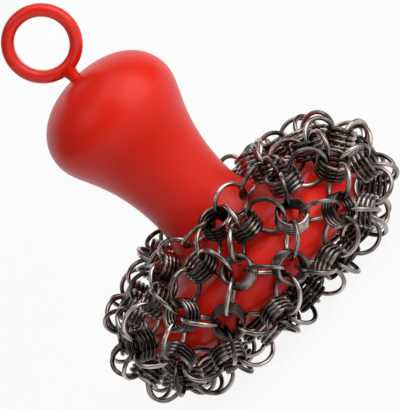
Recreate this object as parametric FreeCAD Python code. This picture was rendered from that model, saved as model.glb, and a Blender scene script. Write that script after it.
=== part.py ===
import FreeCAD, Part
import math
import os
import random

V = FreeCAD.Vector

# Driving dimensions in millimetres; heights are above the head's middle plane unless named otherwise

# Head: a round disc with a full-round rim
HEAD_DIA = 78.0
HEAD_THICK = 16.6

# Grip: a pear-shaped knob on a waisted neck that flares into the head
NECK_DIA = 26.2
FLARE_RADIUS = 15.0
NECK_RUN = 21.0
BELLY_DIA = 42.0
BELLY_HEIGHT = 56.4
BELLY_RUN = 7.4
CROWN_HEIGHT = 71.6
CROWN_RISE = 9.2
CROWN_SPREAD = 12.3

# Seat of the grip in the head, and the screw that ties them
SEAT_INSET = 6.0
SEAT_DEPTH = 3.0
FIT = 0.1
SCREW_DIA = 4.8
SCREW_HEAD_DIA = 9.6
SCREW_HEAD_HEIGHT = 3.0
SCREW_BITE = 22.0
SCREW_TIP = 2.5
SCREW_SINK = 4.5
SCREW_PLAY = 0.4

# Hanging ring, pressed into the crown by its stem
HOLE_DIA = 15.8
HANGER_WIRE_DIA = 3.9
HOLE_LAND_DEPTH = 0.15
STEM_DIA = 3.6
STEM_SHOWN = 2.0
STEM_DEPTH = 12.0
STEM_FLARE = 1.1
HANGER_TURN = 14.0

# Mail: stacks of small rings joined by larger single rings into a closed bag
STACK_WIRE_DIA = 1.2
STACK_BORE = 7.4
STACK = 4
LINK_WIRE_DIA = 1.3
LINK_BORE = 9.4
STACK_GAP = 0.1
RING_GAP = 0.14
HEAD_GAP = 0.4
RISE = 3.8
SKIN = 9.8
SOLE_FLAT = 4.0
NECK_ROW_STAND = 5.9
COLUMN_PITCH = 23.1
TAUT = 0.96

# Hang of the mail: how stacks tilt and fan and how single rings lean, and how they all settle
STACK_TILT = 0.45
SOLE_TILT = 0.1
FAN = 0.04
LINK_LEAN = 0.5
LEAN_SPREAD = 0.15
SOLE_LEAN = 0.85
LOOP_TWIST = 0.7
LOOP_REACH = 0.6
SEED = 3
START_OPEN = 0.2
START_SIZE = 0.84
OPEN_ROUNDS = 80
PRESS_ROUNDS = 240
ROUNDS = 700
LOOK_ROUNDS = 20
SAMPLES = 16
PUSH_SHARE = 0.55
PRESS_SHARE = 0.3
PRESS_LIMIT = 0.25
STEP_LIMIT = 0.3
CROWD_SHARE = 0.35
LOOK_AHEAD = 0.5
MAIL_TURN = 255.0

# Values worked out from the driving dimensions
HALF = HEAD_THICK / 2
RIM_R = HEAD_DIA / 2 - HALF
NECK_R = NECK_DIA / 2
FLARE_R = NECK_R + FLARE_RADIUS
FLARE_Z = HALF + FLARE_RADIUS
SEAT_R = FLARE_R - SEAT_INSET
SEAT_Z = HALF - SEAT_DEPTH
STACK_RING = ((STACK_BORE + STACK_WIRE_DIA) / 2, STACK_WIRE_DIA / 2)
LINK_RING = ((LINK_BORE + LINK_WIRE_DIA) / 2, LINK_WIRE_DIA / 2)
STACK_R, LINK_R = STACK_RING[0], LINK_RING[0]
PITCH = STACK_WIRE_DIA + STACK_GAP
CLEAR = (STACK_WIRE_DIA + LINK_WIRE_DIA) / 2 + RING_GAP
RIM_RISE = HALF + RISE
FLARE_RISE = FLARE_RADIUS - RISE
COLUMNS = 2 * round(math.pi * (RIM_R + RIM_RISE) / COLUMN_PITCH)
NECK_COLUMNS = COLUMNS // 2
# Longest centre distance that a single ring can bridge between two flat stacks, with room to move
REACH = 2 * STACK_R + 2 * math.sqrt((LINK_R - CLEAR) ** 2 - ((STACK - 1) / 2 * PITCH) ** 2)
LINK_MAX = TAUT * REACH
# Pieces whose middles are nearer than this may have rings that touch
NEAR = 2 * LINK_R + CLEAR + STACK * PITCH

ROW_NAMES = ["shoulder", "upper_rim", "lower_rim", "heel", "sole_outer"]


def above_head(p):
    """Height of a point over the head and neck, with the direction straight away from them."""
    r = math.hypot(p.x, p.y)
    if r >= RIM_R:
        d = math.hypot(r - RIM_R, p.z)
        height, out_r, out_z = d - HALF, (r - RIM_R) / d, p.z / d
    elif p.z < 0:
        return -p.z - HALF, V(0, 0, -1)
    elif r >= FLARE_R:
        return p.z - HALF, V(0, 0, 1)
    elif p.z < FLARE_Z:
        d = math.hypot(FLARE_R - r, FLARE_Z - p.z)
        height, out_r, out_z = FLARE_RADIUS - d, (FLARE_R - r) / d, (FLARE_Z - p.z) / d
    else:
        height, out_r, out_z = r - NECK_R, 1.0, 0.0
    return height, V(out_r * p.x / r, out_r * p.y / r, out_z)


# Middle line of the mail from the neck, over the rim, to the middle of the sole

NECK_ROW_R = NECK_R + NECK_ROW_STAND
NECK_ANGLE = math.acos((FLARE_R - NECK_ROW_R) / FLARE_RISE)
FLARE_LEN = (math.pi / 2 - NECK_ANGLE) * FLARE_RISE
TOP_LEN = RIM_R - FLARE_R
RIM_LEN = math.pi * RIM_RISE
MAIL_LEN = FLARE_LEN + TOP_LEN + RIM_LEN + RIM_R


def on_line(s):
    """Radius, height and outward direction at a length along the mail's middle line."""
    if s < FLARE_LEN:
        a = NECK_ANGLE + s / FLARE_RISE
        c, d = math.cos(a), math.sin(a)
        return FLARE_R - FLARE_RISE * c, FLARE_Z - FLARE_RISE * d, c, d
    s -= FLARE_LEN
    if s < TOP_LEN:
        return FLARE_R + s, RIM_RISE, 0.0, 1.0
    s -= TOP_LEN
    if s < RIM_LEN:
        a = math.pi / 2 - s / RIM_RISE
        c, d = math.cos(a), math.sin(a)
        return RIM_R + RIM_RISE * c, RIM_RISE * d, c, d
    return RIM_R - (s - RIM_LEN), -RIM_RISE, 0.0, -1.0


def half_step_away(a, b):
    """Distance between two points of the middle line that stand half a column apart."""
    ra, za = on_line(a)[:2]
    rb, zb = on_line(b)[:2]
    level = ra * ra + rb * rb - 2 * ra * rb * math.cos(math.pi / COLUMNS)
    return math.sqrt(level + (za - zb) ** 2)


def solve(f, low, high):
    """Bisection for the place where f changes from negative to positive."""
    for _ in range(40):
        mid = (low + high) / 2
        if f(mid) < 0:
            low = mid
        else:
            high = mid
    return (low + high) / 2


def row_lengths(rows, link):
    """Lengths along the middle line of the neck row, the full rows and the inner sole row."""
    found = [0.0]
    for _ in range(rows + 1):
        last = found[-1]
        if half_step_away(last, MAIL_LEN) < link:
            found.append(MAIL_LEN)
        else:
            found.append(solve(lambda s: half_step_away(last, s) - link, last, MAIL_LEN))
    return found


def even_link(rows):
    """Link length with which the rows run out exactly one link from the middle of the sole."""
    return solve(lambda link: link - on_line(row_lengths(rows, link)[-1])[0], LINK_R, 4 * LINK_R)


ROWS = 2
while even_link(ROWS) > LINK_MAX:
    ROWS += 1
LINK = even_link(ROWS)


class Ring:
    """A ring of wire: its middle, its axis and the radii of its centre line and its wire."""

    def __init__(self, centre, axis, size):
        self.centre = centre
        self.axis = axis
        self.radius, self.wire = size

    def points(self, count):
        """Points all along the ring's centre line."""
        u, v = across(self.axis)
        return [self.at(u, v, 2 * math.pi * k / count) for k in range(count)]

    def at(self, u, v, turn):
        return self.centre + u * (self.radius * math.cos(turn)) + v * (self.radius * math.sin(turn))


class Piece:
    """A stack of like rings that may fan open to one side, or one single ring."""

    def __init__(self, node, centre, axis, size, count, fan):
        self.node = node
        self.centre = centre
        self.axis = axis
        self.size = size
        self.hinge = across(axis)[0]
        self.steps = [k - (count - 1) / 2 for k in range(count)]
        self.fan = fan
        self.open = START_OPEN
        self.place_rings()

    def place_rings(self):
        """Puts the rings where the piece now lies, as far as its stack is open."""
        pitch = self.open * (PITCH + self.size[0] * abs(self.fan))
        grown = 1.0 if len(self.steps) > 1 else START_SIZE + (1 - START_SIZE) * self.open
        size = (grown * self.size[0], self.size[1])
        lean = self.hinge.cross(self.axis)
        self.rings = []
        for step in self.steps:
            t = self.open * self.fan * step
            axis = self.axis * math.cos(t) + lean * math.sin(t)
            self.rings.append(Ring(self.centre + self.axis * (step * pitch), axis, size))

    def move(self, shift, turn):
        self.centre = self.centre + shift
        self.axis = (self.axis + turn.cross(self.axis)).normalize()
        hinge = self.hinge + turn.cross(self.hinge)
        self.hinge = (hinge - self.axis * hinge.dot(self.axis)).normalize()
        self.place_rings()


def across(axis):
    """Two directions square to an axis and to each other."""
    start = V(1, 0, 0) if abs(axis.x) < 0.6 else V(0, 1, 0)
    u = axis.cross(start).normalize()
    return u, axis.cross(u)


def to_line(p, ring):
    """Squared distance from a point to a ring's centre line."""
    q = p - ring.centre
    h = q.dot(ring.axis)
    e = math.sqrt(max(q.dot(q) - h * h, 0.0)) - ring.radius
    return h * h + e * e


def off_line(p, ring):
    """Vector from the nearest point of a ring's centre line to a point."""
    q = p - ring.centre
    flat = q - ring.axis * q.dot(ring.axis)
    return q - flat * (ring.radius / max(flat.Length, 1e-9))


# Threading: every stack on its row, every single ring through the two stacks that it joins

draw = random.Random(SEED)


def stack_row(group, count, s, half_turn, fan):
    """One row of stacks, each tilted and fanned a little its own way."""
    r, z, out_r, out_z = on_line(s)
    most = STACK_TILT + (SOLE_TILT - STACK_TILT) * max(0.0, -out_z)
    row = []
    for k in range(count):
        a = 2 * math.pi * (k / count + half_turn / COLUMNS / 2)
        c, d = math.cos(a), math.sin(a)
        tilt = V(*[draw.uniform(-most, most) for _ in range(3)])
        axis = (V(out_r * c, out_r * d, out_z) + tilt).normalize()
        row.append(Piece(group + "_clusters", V(r * c, r * d, z), axis, STACK_RING, STACK,
                         draw.uniform(-fan, fan)))
    return row


def between(a, b):
    """Near sides of two stacks, with the directions along and square to the line that joins them."""
    along = (b.centre - a.centre).normalize()
    near_a = a.centre + (along - a.axis * along.dot(a.axis)).normalize() * STACK_R
    near_b = b.centre - (along - b.axis * along.dot(b.axis)).normalize() * STACK_R
    along = (near_b - near_a).normalize()
    up = a.axis + b.axis
    up = (up - along * up.dot(along)).normalize()
    return near_a, near_b, along, up, along.cross(up)


def single_ring(node, centre, axis):
    return Piece(node, centre, axis, LINK_RING, 1, 0.0)


def joining_ring(node, a, b):
    """A single ring that takes in the near sides of two stacks."""
    near_a, near_b, along, up, side = between(a, b)
    lean = LINK_LEAN + draw.uniform(-LEAN_SPREAD, LEAN_SPREAD)
    lean += (SOLE_LEAN - lean) * max(0.0, -up.z)
    axis = side * math.cos(lean) + up * math.sin(lean)
    return single_ring(node, (near_a + near_b) * 0.5, axis)


def joining_pair(node_a, node_b, a, b):
    """Two single rings in a chain between two stacks."""
    near_a, near_b, along, up, side = between(a, b)
    axes = [side * math.cos(t) + up * math.sin(t) for t in (LOOP_TWIST, -LOOP_TWIST)]
    reach = along * (LOOP_REACH * LINK_R)
    return single_ring(node_a, near_a + reach, axes[0]), single_ring(node_b, near_b - reach, axes[1])


def thread_mail():
    """All stacks and single rings of the bag, with the pairs of pieces that hold each other."""
    places = row_lengths(ROWS, LINK)
    names = ROW_NAMES + ["sole_row_%d" % k for k in range(len(ROW_NAMES) + 1, ROWS + 1)]
    neck = stack_row("neck", NECK_COLUMNS, places[0], 1, 0.0)
    full = [stack_row(names[k], COLUMNS, places[k + 1], k % 2, FAN) for k in range(ROWS)]
    last_half = (ROWS - 1) % 2
    inner = stack_row("sole_inner", NECK_COLUMNS, places[-1], 1 + 2 * last_half, 0.0)
    middle = stack_row("sole_middle", 1, MAIL_LEN, 0, 0.0)
    links = []
    for k in range(COLUMNS):
        links.append(("neck_links", neck[k // 2], full[0][k]))
    for upper in range(ROWS - 1):
        back = -1 if upper % 2 == 0 else 1
        for k in range(COLUMNS):
            for j in (k, (k + back) % COLUMNS):
                links.append((names[upper] + "_links", full[upper][k], full[upper + 1][j]))
    for k in range(COLUMNS):
        links.append((names[ROWS - 1] + "_links", full[-1][k], inner[k // 2]))
    for stack in inner:
        links.append(("sole_middle_links", stack, middle[0]))
    stacks = neck + [stack for row in full for stack in row] + inner + middle
    singles = [joining_ring(*link) for link in links]
    held = [(single, link[n]) for single, link in zip(singles, links) for n in (1, 2)]
    for k in range(NECK_COLUMNS):
        a, b = neck[k], neck[(k + 1) % NECK_COLUMNS]
        first, second = joining_pair("neck_loop_%d" % (k + 1), "neck_ties", a, b)
        singles += [first, second]
        held += [(first, a), (first, second), (second, b)]
    return stacks + singles, held


# Settling: rings that crowd push apart, and rings that stand off are drawn in to the head

def near_pieces(pieces):
    table = []
    for a in pieces:
        table.append([b for b in pieces if b is not a and a.centre.distanceToPoint(b.centre) < NEAR])
    return table


def may_touch(a, b, clear):
    return a.centre.distanceToPoint(b.centre) < a.radius + b.radius + clear


def crowding(ring, points, other, clear):
    """Where one ring comes too near another: point, direction away and shortfall, or nothing."""
    gaps = [to_line(p, other) for p in points]
    least = min(gaps)
    if least > (clear + LOOK_AHEAD) ** 2:
        return None
    k = gaps.index(least)
    before, after = gaps[k - 1], gaps[(k + 1) % SAMPLES]
    bend = before - 2 * least + after
    shift = 0.5 * (before - after) / bend if bend > 1e-9 else 0.0
    u, v = across(ring.axis)
    p = ring.at(u, v, 2 * math.pi * (k + max(-0.5, min(0.5, shift))) / SAMPLES)
    away = off_line(p, other)
    if away.Length >= clear:
        return None
    return p, away / away.Length, PUSH_SHARE * (clear - away.Length)


def pushes_on(piece, others, press):
    """Every push that acts on a piece, as point, direction and depth."""
    found = []
    wire = piece.size[1]
    low, high = (1e9, None, None), (-1e9, None, None)
    for ring in piece.rings:
        points = ring.points(SAMPLES)
        for other in others:
            clear = wire + other.size[1] + RING_GAP
            for other_ring in other.rings:
                if may_touch(ring, other_ring, clear):
                    hit = crowding(ring, points, other_ring, clear)
                    if hit:
                        found.append(hit)
        for p in points:
            height, out = above_head(p)
            if height < low[0]:
                low = height, p, out
            if height > high[0]:
                high = height, p, out
    short = wire + HEAD_GAP - low[0]
    if short > 0:
        found.append((low[1], low[2], short))
    over = high[0] + wire - SKIN + SOLE_FLAT * max(0.0, -high[2].z)
    if press and over > 0:
        found.append((high[1], -high[2], min(PRESS_SHARE * over, PRESS_LIMIT)))
    return found


def settle(pieces):
    """Moves and turns the pieces, one after another, until they lie clear of each other."""
    for count in range(ROUNDS):
        if count % LOOK_ROUNDS == 0:
            near = near_pieces(pieces)
        for piece, others in zip(pieces, near):
            piece.open = min(1.0, max(piece.open, count / OPEN_ROUNDS))
            found = pushes_on(piece, others, count < PRESS_ROUNDS)
            easy_turn = 2 / piece.size[0] ** 2
            share = 1 / max(1.0, CROWD_SHARE * len(found))
            shift, turn = V(0, 0, 0), V(0, 0, 0)
            for p, away, depth in found:
                twist = (p - piece.centre).cross(away)
                twist = twist - piece.axis * twist.dot(piece.axis)
                amount = share * depth / (1 + easy_turn * twist.dot(twist))
                shift = shift + away * amount
                turn = turn + twist * (amount * easy_turn)
            if shift.Length > STEP_LIMIT:
                shift = shift * (STEP_LIMIT / shift.Length)
            piece.move(shift, turn)


def turn_mail(pieces):
    """Turns the settled bag about the grip's axis."""
    turn = FreeCAD.Rotation(V(0, 0, 1), MAIL_TURN)
    for piece in pieces:
        piece.centre = turn.multVec(piece.centre)
        piece.axis = turn.multVec(piece.axis)
        piece.hinge = turn.multVec(piece.hinge)
        piece.place_rings()


def hold_each_other(a, b):
    """True when ring b passes through ring a exactly once."""
    u, v = across(b.axis)
    along_u, along_v = b.radius * u.dot(a.axis), b.radius * v.dot(a.axis)
    high = (b.centre - a.centre).dot(a.axis)
    swing = math.hypot(along_u, along_v)
    if swing <= abs(high):
        return False
    mid = math.atan2(along_v, along_u)
    half = math.acos(-high / swing)
    inside = [b.at(u, v, turn).distanceToPoint(a.centre) < a.radius for turn in (mid - half, mid + half)]
    return inside[0] != inside[1]


def wire_reach(pieces, measure):
    """Least value of a measure of points of the wires' centre lines, less the wire's radius."""
    rings = [ring for piece in pieces for ring in piece.rings]
    return min(min(measure(p) for p in ring.points(4 * SAMPLES)) - ring.wire for ring in rings)


def report(pieces, held):
    """Prints how the mail came out: least gaps, and rings that fail to hold each other."""
    least, linked = 1e9, 0
    for piece, others in zip(pieces, near_pieces(pieces)):
        for ring in piece.rings:
            points = ring.points(8 * SAMPLES)
            for other in (other for near in others for other in near.rings):
                if may_touch(ring, other, CLEAR):
                    gap = math.sqrt(min(to_line(p, other) for p in points)) - ring.wire - other.wire
                    least = min(least, gap)
                    linked += hold_each_other(ring, other)
    pairs = [(a, b) for first, second in held for a in first.rings for b in second.rings]
    loose = sum(not hold_each_other(a, b) for a, b in pairs)
    print("columns", COLUMNS, "full rows", ROWS, "link", round(LINK, 2), "reach", round(REACH, 2))
    print("rings", sum(len(piece.rings) for piece in pieces), "not holding", loose,
          "held by chance", linked // 2 - len(pairs) + loose)
    print("least gap between rings", round(least, 3))
    print("least gap to the head", round(wire_reach(pieces, lambda p: above_head(p)[0]), 3))
    print("thickest", round(-wire_reach(pieces, lambda p: -above_head(p)[0]), 2))


# Solids

def revolved(outline):
    """Solid of revolution about the grip's axis from a closed outline in the XZ plane."""
    return Part.Face(Part.Wire(outline)).revolve(V(0, 0, 0), V(0, 0, 1), 360)


def line(a, b):
    return Part.LineSegment(V(a[0], 0, a[1]), V(b[0], 0, b[1])).toShape()


def arc(centre, radius, start, end):
    """Arc in the XZ plane between two angles in degrees."""
    turns = [math.radians(t) for t in (start, (start + end) / 2, end)]
    points = [V(centre[0] + radius * math.cos(t), 0, centre[1] + radius * math.sin(t)) for t in turns]
    return Part.Arc(*points).toShape()


def curve(*poles):
    shape = Part.BezierCurve()
    shape.setPoles([V(r, 0, z) for r, z in poles])
    return shape.toShape()


def chain(points):
    return [line(a, b) for a, b in zip(points, points[1:])]


def flare_angle(r):
    """Angle about the flare's centre, in degrees, of the flare's point at a radius."""
    return 180 + math.degrees(math.acos((FLARE_R - r) / FLARE_RADIUS))


def flare_height(r):
    return FLARE_Z - math.sqrt(FLARE_RADIUS ** 2 - (FLARE_R - r) ** 2)


def cylinder(radius, low, high):
    return Part.makeCylinder(radius, high - low, V(0, 0, low))


def make_grip():
    belly_r = BELLY_DIA / 2
    outline = chain([(0, CROWN_HEIGHT), (0, SEAT_Z), (SEAT_R, SEAT_Z), (SEAT_R, flare_height(SEAT_R))])
    outline.append(arc((FLARE_R, FLARE_Z), FLARE_RADIUS, flare_angle(SEAT_R), 180))
    outline.append(curve((NECK_R, FLARE_Z), (NECK_R, FLARE_Z + NECK_RUN),
                         (belly_r, BELLY_HEIGHT - BELLY_RUN), (belly_r, BELLY_HEIGHT)))
    outline.append(curve((belly_r, BELLY_HEIGHT), (belly_r, BELLY_HEIGHT + CROWN_RISE),
                         (CROWN_SPREAD, CROWN_HEIGHT), (0, CROWN_HEIGHT)))
    stem_hole = cylinder(STEM_DIA / 2 + FIT, CROWN_HEIGHT - STEM_DEPTH - FIT, CROWN_HEIGHT + 1)
    screw_hole = cylinder(SCREW_DIA / 2 + FIT, SEAT_Z - 1, SEAT_Z + SCREW_BITE + FIT)
    return revolved(outline).cut(stem_hole).cut(screw_hole)


def make_head():
    seat_r = SEAT_R + FIT
    outline = chain([(seat_r, flare_height(seat_r)), (seat_r, SEAT_Z), (0, SEAT_Z), (0, -HALF),
                     (RIM_R, -HALF)])
    outline.append(arc((RIM_R, 0), HALF, -90, 90))
    outline.append(line((RIM_R, HALF), (FLARE_R, HALF)))
    outline.append(arc((FLARE_R, FLARE_Z), FLARE_RADIUS, 270, flare_angle(seat_r)))
    bore = cylinder(SCREW_DIA / 2 + SCREW_PLAY, -HALF - 1, SEAT_Z + 1)
    sink = cylinder(SCREW_HEAD_DIA / 2 + SCREW_PLAY, -HALF - 1, -HALF + SCREW_SINK)
    return revolved(outline).cut(bore).cut(sink)


def make_screw():
    under = -HALF + SCREW_SINK
    head_r, shank_r = SCREW_HEAD_DIA / 2, SCREW_DIA / 2
    tip = SEAT_Z + SCREW_BITE
    low = under - SCREW_HEAD_HEIGHT
    outline = chain([(0, low), (0, tip), (shank_r / 3, tip), (shank_r, tip - SCREW_TIP), (shank_r, under),
                     (head_r, under)])
    outline.append(curve((head_r, under), (head_r, low + SCREW_HEAD_HEIGHT / 3),
                         (head_r * 2 / 3, low), (0, low)))
    return revolved(outline)


def make_hanger():
    hole_r, wire_r, stem_r = HOLE_DIA / 2, HANGER_WIRE_DIA / 2, STEM_DIA / 2
    ring_r = hole_r - HOLE_LAND_DEPTH + wire_r
    centre = hanger_centre()
    turn = math.radians(HANGER_TURN)
    facing = V(-math.sin(turn), -math.cos(turn), 0)
    ring = Part.makeTorus(ring_r, wire_r, centre, facing)
    meet = centre.z - ring_r
    outline = chain([(0, meet), (0, CROWN_HEIGHT - STEM_DEPTH), (stem_r, CROWN_HEIGHT - STEM_DEPTH),
                     (stem_r, CROWN_HEIGHT)])
    outline.append(curve((stem_r, CROWN_HEIGHT), (stem_r, meet - wire_r), (stem_r + STEM_FLARE, meet)))
    outline.append(line((stem_r + STEM_FLARE, meet), (0, meet)))
    land = Part.makeCylinder(hole_r, 4 * wire_r, centre - facing * (2 * wire_r), facing)
    return ring.fuse(revolved(outline)).cut(land).removeSplitter()


def hanger_centre():
    ring_outer = HOLE_DIA / 2 - HOLE_LAND_DEPTH + HANGER_WIRE_DIA
    return V(0, 0, CROWN_HEIGHT + STEM_SHOWN + ring_outer)


def make_mail(pieces):
    """Ring solids of every node of the mail."""
    nodes = {}
    for piece in pieces:
        solids = [Part.makeTorus(ring.radius, ring.wire, ring.centre, ring.axis) for ring in piece.rings]
        nodes.setdefault(piece.node, []).extend(solids)
    return {name: Part.makeCompound(solids) for name, solids in nodes.items()}


def main():
    mail, held = thread_mail()
    settle(mail)
    turn_mail(mail)
    report(mail, held)
    nodes = {
        "grip": make_grip(),
        "head": make_head(),
        "tie_screw": make_screw(),
        "hanging_ring": make_hanger(),
    }
    nodes.update(make_mail(mail))
    # The origin is on the surface that the sole stands on, under the grip's axis
    stand = -wire_reach(mail, lambda p: p.z)
    os.makedirs("parts", exist_ok=True)
    for name, shape in nodes.items():
        shape.translate(V(0, 0, stand))
        shape.exportStep("parts/%s.step" % name)
    hang = hanger_centre() + V(0, 0, stand)
    print("head's middle plane at", round(stand, 3), "hanging hole at", round(hang.z, 3))


main()
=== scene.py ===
"""Looks of a chain mail pot scrubber: satin red grip and head, steel rings, white studio."""

import math
from typing import NamedTuple

import bpy
from bpy.props import FloatProperty, FloatVectorProperty, PointerProperty
from mathutils import Matrix, Vector


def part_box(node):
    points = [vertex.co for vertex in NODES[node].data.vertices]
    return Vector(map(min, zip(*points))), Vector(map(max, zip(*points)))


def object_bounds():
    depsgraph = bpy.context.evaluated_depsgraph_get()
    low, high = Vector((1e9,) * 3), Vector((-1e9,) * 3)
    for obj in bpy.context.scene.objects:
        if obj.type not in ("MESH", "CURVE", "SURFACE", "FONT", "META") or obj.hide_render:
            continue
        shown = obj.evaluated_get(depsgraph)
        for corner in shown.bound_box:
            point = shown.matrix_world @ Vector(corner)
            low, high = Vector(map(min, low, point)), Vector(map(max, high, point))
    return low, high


bl_info = {
    "name": "Pot scrubber",
    "version": (1, 0, 0),
    "blender": (4, 5, 0),
    "location": "3D View > Sidebar > Scrubber",
    "description": "Finishes the grip, head and ring mail of a pot scrubber, and sets its studio",
    "category": "Object",
}

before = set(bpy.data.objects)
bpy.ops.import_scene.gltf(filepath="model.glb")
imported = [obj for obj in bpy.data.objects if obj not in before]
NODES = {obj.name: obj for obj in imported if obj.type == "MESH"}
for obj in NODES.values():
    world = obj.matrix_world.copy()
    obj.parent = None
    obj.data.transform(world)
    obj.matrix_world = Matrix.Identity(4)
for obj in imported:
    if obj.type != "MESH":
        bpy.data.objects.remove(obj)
CAD_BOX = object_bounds()

# Pieces by finish
RED_NODES = ("grip", "head")
STACK_NODES = tuple(sorted(name for name in NODES if name.endswith("_clusters")))
SINGLE_NODES = tuple(sorted(name for name in NODES if name.endswith(("_links", "_ties"))
                            or name.startswith("neck_loop")))

# The picture: its size in pixels, the real size that a pixel shows, where the head's middle lies in it
# and which way the grip points, counted from straight up towards the left
IMAGE_WIDTH = 400
IMAGE_HEIGHT = 410
PIXEL = 0.285e-3
HEAD_PIXEL = (250.2, 256.2)
GRIP_LEAN = math.radians(44.4)

HEAD_THICKNESS = 16.6e-3
HEAD_MIDDLE = Vector((0, 0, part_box("head")[0].z + HEAD_THICKNESS / 2))

# Red: what is taken off its roughness, what patches and smears add to it, and how strong its grain is
RED_BLUR_BASE = 0.06
RED_PATCH_BLUR = 0.08
RED_SMEAR_BLUR = 0.06
GRAIN_STRENGTH = 0.6

# Steel: what is taken off its roughness, what scratches and patches add to it, how strong its scratches are,
# the tarnish at which the noise is used as it comes, and the noise levels of bright and of dull metal
STEEL_BLUR_BASE = 0.05
STEEL_SCRATCH_BLUR = 0.08
STEEL_PATCH_BLUR = 0.08
SCRATCH_STRENGTH = 0.5
EVEN_TARNISH = 0.5
BRIGHT_BELOW = 0.38
DULL_ABOVE = 0.68

# Backdrop, in metres: a square floor, moved forward, whose rear edge sweeps up into a wall
FLOOR_SIZE = 10.0
FLOOR_Y = -1.5
WALL_HEIGHT = 4.0
SWEEP_WIDTH = 0.5
SWEEP_SEGMENTS = 12


class Lamp(NamedTuple):
    """A square soft lamp, and the name of the setting that holds its power.

    It is placed from the object's middle by a direction in the camera's right, up and back, and by metres.
    """

    name: str
    power: str
    towards: tuple
    distance: float
    width: float
    mirrored: bool


LAMPS = (
    Lamp("key_lamp", "key_power", (0.45, 0.68, 0.57), 0.8, 0.75, True),
    Lamp("top_lamp", "top_power", (-0.2, 0.9, 0.4), 0.8, 0.7, True),
    Lamp("front_lamp", "front_power", (0.25, 0.25, 0.93), 1.2, 0.4, False),
    Lamp("fill_lamp", "fill_power", (-0.75, 0.25, 0.6), 1.0, 0.6, True),
    Lamp("rear_lamp", "rear_power", (-0.3, 0.5, -0.8), 1.2, 0.8, False),
)


class Socket:
    """A node's output that can be used in sums and products."""

    def __init__(self, finish, output):
        self.finish = finish
        self.output = output

    def _math(self, operation, first, second):
        return self.finish.node("ShaderNodeMath", {"operation": operation}, {0: first, 1: second})

    def __add__(self, other):
        return self._math("ADD", self, other)

    __radd__ = __add__

    def __mul__(self, other):
        return self._math("MULTIPLY", self, other)

    __rmul__ = __mul__


class Finish:
    """A new material whose shader is set by plain values and by sockets."""

    def __init__(self, name, shader="ShaderNodeBsdfPrincipled"):
        self.material = bpy.data.materials.new(name)
        self.material.use_nodes = True
        self.tree = self.material.node_tree
        self.tree.nodes.clear()
        self.shader = self.tree.nodes.new(shader)
        out = self.tree.nodes.new("ShaderNodeOutputMaterial")
        self.tree.links.new(self.shader.outputs[0], out.inputs["Surface"])

    def put(self, node, socket, value):
        """Sets a socket of a node to a plain value, or links a socket to it."""
        if isinstance(value, Socket):
            self.tree.links.new(value.output, node.inputs[socket])
        else:
            node.inputs[socket].default_value = value

    def node(self, kind, settings=None, inputs=None, output=0):
        """A new node with its settings and inputs; a ramp's two stops are given as (place, colour)."""
        made = self.tree.nodes.new(kind)
        for name, value in (settings or {}).items():
            if name == "stops":
                for element, (place, colour) in zip(made.color_ramp.elements, value):
                    element.position = place
                    element.color = colour
            else:
                setattr(made, name, value)
        for socket, value in (inputs or {}).items():
            self.put(made, socket, value)
        return Socket(self, made.outputs[output])

    def set(self, **values):
        """Sets the shader's sockets, named with _ in place of a space."""
        for name, value in values.items():
            self.put(self.shader, name.replace("_", " "), value)

    def place(self):
        """The place on the piece, in metres."""
        return self.node("ShaderNodeTexCoord", output="Object")

    def noise(self, place, size, detail, roughness=0.5):
        """Noise from 0 to 1 whose blotches are about the given size in metres."""
        inputs = {"Vector": place, "Scale": 1 / size, "Detail": detail, "Roughness": roughness}
        return self.node("ShaderNodeTexNoise", inputs=inputs, output="Fac")

    def ramp(self, value, *stops):
        """A grey, used as a number, that goes from one stop to the next."""
        return self.node("ShaderNodeValToRGB", {"stops": stops}, {"Fac": value})

    def mix(self, share, first, second):
        """A blend of two colours."""
        inputs = {"Factor": share, 6: first, 7: second}
        return self.node("ShaderNodeMix", {"data_type": "RGBA"}, inputs, output=2)

    def most(self, first, second):
        """The larger of two values."""
        return self.node("ShaderNodeMath", {"operation": "MAXIMUM"}, {0: first, 1: second})

    def bump(self, height, depth, strength):
        """Fine relief of the given depth in metres."""
        inputs = {"Height": height, "Distance": depth, "Strength": strength}
        return self.node("ShaderNodeBump", inputs=inputs)


def grey(level):
    """A grey as a colour socket takes it."""
    return (level, level, level, 1.0)


def opaque(colour):
    """A colour as a colour socket takes it."""
    return (*colour, 1.0)


def show(names, material):
    """Gives CAD pieces their finish."""
    for name in names:
        mesh = NODES[name].data
        mesh.materials.clear()
        mesh.materials.append(material)


class RedFinish(bpy.types.PropertyGroup):
    """Satin moulded red of the grip, the head and the hanging ring."""

    colour: FloatVectorProperty(
        name="Colour", description="Red of the moulding", subtype="COLOR", min=0, max=1,
        default=(0.66, 0.012, 0.002))
    deep: FloatVectorProperty(
        name="Deep colour", description="Red of the faintly darker patches", subtype="COLOR", min=0, max=1,
        default=(0.60, 0.010, 0.002))
    roughness: FloatProperty(
        name="Roughness", description="Blur of the body's reflections", subtype="FACTOR", min=0, max=1,
        default=0.34)
    ring_roughness: FloatProperty(
        name="Ring roughness", description="Blur of the hanging ring's reflections", subtype="FACTOR",
        min=0, max=1, default=0.28)
    specular: FloatProperty(
        name="Specular", description="Strength of the red's own reflections", subtype="FACTOR",
        min=0, max=1, default=0.27)
    ring_gloss: FloatProperty(
        name="Ring gloss", description="Weight of the gloss on the hanging ring", subtype="FACTOR",
        min=0, max=1, default=0.3)
    gloss_roughness: FloatProperty(
        name="Gloss roughness", description="Blur of the gloss", subtype="FACTOR", min=0, max=1, default=0.2)
    patch: FloatProperty(
        name="Patch size", description="Size of the patches of tone", unit="LENGTH", default=0.018)
    smear: FloatProperty(
        name="Smear size", description="Size of the smears in the polish", unit="LENGTH", default=0.0045)
    grain: FloatProperty(
        name="Grain size", description="Size of the moulded grain", unit="LENGTH", default=0.00045)
    grain_depth: FloatProperty(
        name="Grain depth", description="Depth of the moulded grain", unit="LENGTH", default=0.000012)


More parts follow.
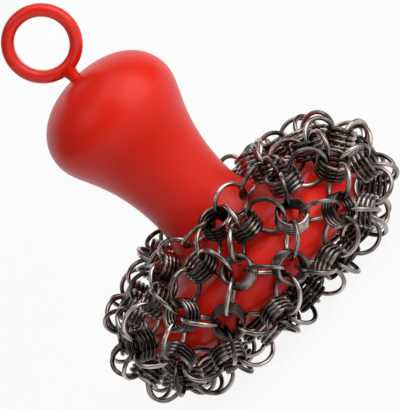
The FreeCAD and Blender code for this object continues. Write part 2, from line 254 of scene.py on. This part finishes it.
class SteelFinish(bpy.types.PropertyGroup):
    """Polished steel wire of the rings, and the plainer steel of the screw."""

    colour: FloatVectorProperty(
        name="Colour", description="Bright steel", subtype="COLOR", min=0, max=1,
        default=(0.68, 0.60, 0.555))
    dull: FloatVectorProperty(
        name="Dull colour", description="Steel where it is tarnished", subtype="COLOR", min=0, max=1,
        default=(0.055, 0.046, 0.042))
    roughness: FloatProperty(
        name="Roughness", description="Blur of the rings' reflections", subtype="FACTOR", min=0, max=1,
        default=0.11)
    screw_roughness: FloatProperty(
        name="Screw roughness", description="Blur of the screw's reflections", subtype="FACTOR",
        min=0, max=1, default=0.4)
    stack_tarnish: FloatProperty(
        name="Stack tarnish", description="How dull the stacked rings are", subtype="FACTOR",
        min=0, max=1, default=0.67)
    single_tarnish: FloatProperty(
        name="Single tarnish", description="How dull the single rings are", subtype="FACTOR",
        min=0, max=1, default=0.58)
    screw_tarnish: FloatProperty(
        name="Screw tarnish", description="How dull the screw is", subtype="FACTOR",
        min=0, max=1, default=0.4)
    patch: FloatProperty(
        name="Patch size", description="Size of the patches of tone", unit="LENGTH", default=0.009)
    scratch: FloatProperty(
        name="Scratch size", description="Size of the fine scratches", unit="LENGTH", default=0.00035)
    scratch_depth: FloatProperty(
        name="Scratch depth", description="Depth of the fine scratches", unit="LENGTH", default=0.000008)


class StageSettings(bpy.types.PropertyGroup):
    """Floor, lamps and camera."""

    floor: FloatVectorProperty(
        name="Floor", description="Colour of the floor and backdrop", subtype="COLOR", min=0, max=1,
        default=(0.9, 0.9, 0.9))
    glow: FloatProperty(
        name="White share", description="Share of plain white in the seen backdrop", subtype="FACTOR",
        min=0, max=1, default=0.9)
    ambient: FloatProperty(
        name="Ambient", description="Strength of the room's light", min=0, default=0.22)
    key_power: FloatProperty(
        name="Key lamp", description="Power of the main lamp", unit="POWER", default=4.8)
    top_power: FloatProperty(
        name="Top lamp", description="Power of the lamp above", unit="POWER", default=2.2)
    front_power: FloatProperty(
        name="Front lamp", description="Power of the lamp beside the camera", unit="POWER", default=2.8)
    fill_power: FloatProperty(
        name="Fill lamp", description="Power of the lamp on the dark side", unit="POWER", default=1.2)
    rear_power: FloatProperty(
        name="Rear lamp", description="Power of the lamp behind the object", unit="POWER", default=4.0)
    view_raise: FloatProperty(
        name="View height", description="How far the camera looks down on the head", subtype="ANGLE",
        default=math.radians(9.0))
    lens: FloatProperty(
        name="Lens", description="Focal length", unit="CAMERA", default=400.0)


class ScrubberSettings(bpy.types.PropertyGroup):
    """All settings of the scrubber."""

    red: PointerProperty(type=RedFinish)
    steel: PointerProperty(type=SteelFinish)
    stage: PointerProperty(type=StageSettings)


def red_finish(name, settings, roughness, gloss):
    """Satin red with faint patches of tone, smears in its polish and a fine moulded grain."""
    finish = Finish(name)
    place = finish.place()
    patches = finish.noise(place, settings.patch, detail=4.0)
    grain = finish.noise(place, settings.grain, detail=2.0)
    smears = finish.noise(place, settings.smear, detail=5.0, roughness=0.65)
    finish.set(
        Base_Color=finish.mix(patches, opaque(settings.colour), opaque(settings.deep)),
        Roughness=roughness - RED_BLUR_BASE + RED_PATCH_BLUR * patches + RED_SMEAR_BLUR * smears,
        Normal=finish.bump(grain, settings.grain_depth, GRAIN_STRENGTH),
        Specular_IOR_Level=settings.specular,
        Coat_Weight=gloss,
        Coat_Roughness=settings.gloss_roughness,
    )
    return finish.material


def steel_finish(name, settings, roughness, dullness):
    """Bright wire with duller patches, fine scratches and uneven polish."""
    finish = Finish(name)
    place = finish.place()
    patches = finish.noise(place, settings.patch, detail=3.0)
    scratches = finish.noise(place, settings.scratch, detail=3.0, roughness=0.7)
    level = patches + (dullness - EVEN_TARNISH)
    tarnish = finish.ramp(level, (BRIGHT_BELOW, grey(0.0)), (DULL_ABOVE, grey(1.0)))
    finish.set(
        Base_Color=finish.mix(tarnish, opaque(settings.colour), opaque(settings.dull)),
        Metallic=1.0,
        Roughness=roughness - STEEL_BLUR_BASE + STEEL_SCRATCH_BLUR * scratches + STEEL_PATCH_BLUR * patches,
        Normal=finish.bump(scratches, settings.scratch_depth, SCRATCH_STRENGTH),
    )
    return finish.material


class SCRUBBER_OT_red_body(bpy.types.Operator):
    """Finishes the grip and the head"""

    bl_idname = "scrubber.red_body"
    bl_label = "Grip and head"

    def execute(self, context):
        red = context.scene.scrubber.red
        show(RED_NODES, red_finish("satin_red", red, red.roughness, gloss=0.0))
        return {"FINISHED"}


class SCRUBBER_OT_hanging_ring(bpy.types.Operator):
    """Finishes the hanging ring"""

    bl_idname = "scrubber.hanging_ring"
    bl_label = "Hanging ring"

    def execute(self, context):
        red = context.scene.scrubber.red
        show(("hanging_ring",), red_finish("glossy_red", red, red.ring_roughness, red.ring_gloss))
        return {"FINISHED"}


class SCRUBBER_OT_tie_screw(bpy.types.Operator):
    """Finishes the screw that ties the head to the grip"""

    bl_idname = "scrubber.tie_screw"
    bl_label = "Tie screw"

    def execute(self, context):
        steel = context.scene.scrubber.steel
        show(("tie_screw",), steel_finish("plain_steel", steel, steel.screw_roughness, steel.screw_tarnish))
        return {"FINISHED"}


class SCRUBBER_OT_ring_stacks(bpy.types.Operator):
    """Finishes the stacks of rings"""

    bl_idname = "scrubber.ring_stacks"
    bl_label = "Ring stacks"

    def execute(self, context):
        steel = context.scene.scrubber.steel
        show(STACK_NODES, steel_finish("stack_steel", steel, steel.roughness, steel.stack_tarnish))
        return {"FINISHED"}


class SCRUBBER_OT_single_rings(bpy.types.Operator):
    """Finishes the single rings between the stacks"""

    bl_idname = "scrubber.single_rings"
    bl_label = "Single rings"

    def execute(self, context):
        steel = context.scene.scrubber.steel
        show(SINGLE_NODES, steel_finish("link_steel", steel, steel.roughness, steel.single_tarnish))
        return {"FINISHED"}


def camera_axes(stage):
    """The camera's right, up and back directions."""
    back = Vector((0, -math.cos(stage.view_raise), math.sin(stage.view_raise)))
    upright = Vector((0, math.sin(stage.view_raise), math.cos(stage.view_raise)))
    side = Vector((1, 0, 0))
    right = side * math.cos(GRIP_LEAN) - upright * math.sin(GRIP_LEAN)
    up = side * math.sin(GRIP_LEAN) + upright * math.cos(GRIP_LEAN)
    return right, up, back


def add_camera(context, stage):
    """A camera that sees the head's middle at its pixel, at the picture's scale."""
    right, up, back = camera_axes(stage)
    shift_right = (IMAGE_WIDTH / 2 - HEAD_PIXEL[0]) * PIXEL
    shift_up = (HEAD_PIXEL[1] - IMAGE_HEIGHT / 2) * PIXEL
    aim = HEAD_MIDDLE + right * shift_right + up * shift_up
    bpy.ops.object.camera_add()
    camera = context.object
    camera.name = "photo_camera"
    camera.data.lens = stage.lens
    camera.data.sensor_fit = "HORIZONTAL"
    distance = IMAGE_WIDTH * PIXEL * stage.lens / camera.data.sensor_width
    turn = Matrix((right, up, back)).transposed().to_4x4()
    camera.matrix_world = Matrix.Translation(aim + back * distance) @ turn
    context.scene.camera = camera


def add_lamp(context, stage, plan):
    """A lamp of the plan that shines at the middle of the object, and may be mirrored in it."""
    right, up, back = camera_axes(stage)
    middle = (CAD_BOX[0] + CAD_BOX[1]) / 2
    direction = right * plan.towards[0] + up * plan.towards[1] + back * plan.towards[2]
    towards = direction.normalized()
    bpy.ops.object.light_add(type="AREA", location=middle + towards * plan.distance)
    lamp = context.object
    lamp.name = plan.name
    lamp.rotation_mode = "QUATERNION"
    lamp.rotation_quaternion = (-towards).to_track_quat("-Z", "Y")
    lamp.data.size = plan.width
    lamp.data.energy = getattr(stage, plan.power)
    lamp.visible_camera = False
    lamp.visible_glossy = plan.mirrored


def backdrop_finish(stage):
    """Pale paper that is seen nearly white and still takes shadows."""
    finish = Finish("pale_paper", "ShaderNodeMixShader")
    camera_ray = finish.node("ShaderNodeLightPath", output="Is Camera Ray")
    glossy_ray = finish.node("ShaderNodeLightPath", output="Is Glossy Ray")
    clear_ray = finish.node("ShaderNodeLightPath", output="Is Transmission Ray")
    seen = finish.most(finish.most(camera_ray, glossy_ray), clear_ray)
    paper = finish.node("ShaderNodeBsdfDiffuse", inputs={"Color": opaque(stage.floor)})
    white = finish.node("ShaderNodeEmission", inputs={"Color": grey(1.0), "Strength": 1.0})
    for socket, value in enumerate((stage.glow * seen, paper, white)):
        finish.put(finish.shader, socket, value)
    return finish.material


def add_backdrop(context, stage):
    """A floor that sweeps up into a wall behind the object."""
    bpy.ops.mesh.primitive_plane_add(size=FLOOR_SIZE, location=(0, FLOOR_Y, 0))
    backdrop = context.object
    backdrop.name = "backdrop"
    bpy.ops.object.mode_set(mode="EDIT")
    bpy.ops.mesh.select_mode(type="EDGE")
    bpy.ops.mesh.select_all(action="DESELECT")
    bpy.ops.object.mode_set(mode="OBJECT")
    for edge in backdrop.data.edges:
        edge.select = all(backdrop.data.vertices[v].co.y > 0 for v in edge.vertices)
    bpy.ops.object.mode_set(mode="EDIT")
    bpy.ops.mesh.extrude_region_move(TRANSFORM_OT_translate={"value": (0, 0, WALL_HEIGHT)})
    bpy.ops.object.mode_set(mode="OBJECT")
    sweep = backdrop.modifiers.new("sweep", "BEVEL")
    sweep.width = SWEEP_WIDTH
    sweep.segments = SWEEP_SEGMENTS
    bpy.ops.object.modifier_apply(modifier=sweep.name)
    bpy.ops.object.shade_smooth()
    backdrop.data.materials.append(backdrop_finish(stage))


def set_world(context, stage):
    """Even white light from the room."""
    world = bpy.data.worlds.new("studio")
    world.use_nodes = True
    background = world.node_tree.nodes["Background"]
    background.inputs["Color"].default_value = grey(1.0)
    background.inputs["Strength"].default_value = stage.ambient
    context.scene.world = world


class SCRUBBER_OT_stage(bpy.types.Operator):
    """Sets the floor, the lamps and the camera"""

    bl_idname = "scrubber.stage"
    bl_label = "Studio"

    def execute(self, context):
        stage = context.scene.scrubber.stage
        bpy.ops.object.select_all(action="DESELECT")
        add_backdrop(context, stage)
        for plan in LAMPS:
            add_lamp(context, stage, plan)
        add_camera(context, stage)
        set_world(context, stage)
        context.scene.view_settings.view_transform = "Standard"
        return {"FINISHED"}


class SCRUBBER_PT_panel(bpy.types.Panel):
    """Steps and settings of the pot scrubber"""

    bl_idname = "SCRUBBER_PT_panel"
    bl_label = "Pot scrubber"
    bl_space_type = "VIEW_3D"
    bl_region_type = "UI"
    bl_category = "Scrubber"

    def draw(self, context):
        settings = context.scene.scrubber
        for step in STEPS:
            self.layout.operator(step.bl_idname)
        for group in (settings.red, settings.steel, settings.stage):
            box = self.layout.box()
            for name in group.bl_rna.properties.keys():
                if name not in ("rna_type", "name"):
                    box.prop(group, name)


STEPS = (
    SCRUBBER_OT_red_body,
    SCRUBBER_OT_hanging_ring,
    SCRUBBER_OT_tie_screw,
    SCRUBBER_OT_ring_stacks,
    SCRUBBER_OT_single_rings,
    SCRUBBER_OT_stage,
)
CLASSES = (RedFinish, SteelFinish, StageSettings, ScrubberSettings, *STEPS, SCRUBBER_PT_panel)


def register():
    for cls in CLASSES:
        bpy.utils.register_class(cls)
    bpy.types.Scene.scrubber = PointerProperty(type=ScrubberSettings)


def unregister():
    del bpy.types.Scene.scrubber
    for cls in reversed(CLASSES):
        bpy.utils.unregister_class(cls)


def main():
    register()
    bpy.ops.scrubber.red_body()
    bpy.ops.scrubber.hanging_ring()
    bpy.ops.scrubber.tie_screw()
    bpy.ops.scrubber.ring_stacks()
    bpy.ops.scrubber.single_rings()
    bpy.ops.scrubber.stage()


if __name__ == "__main__":
    main()
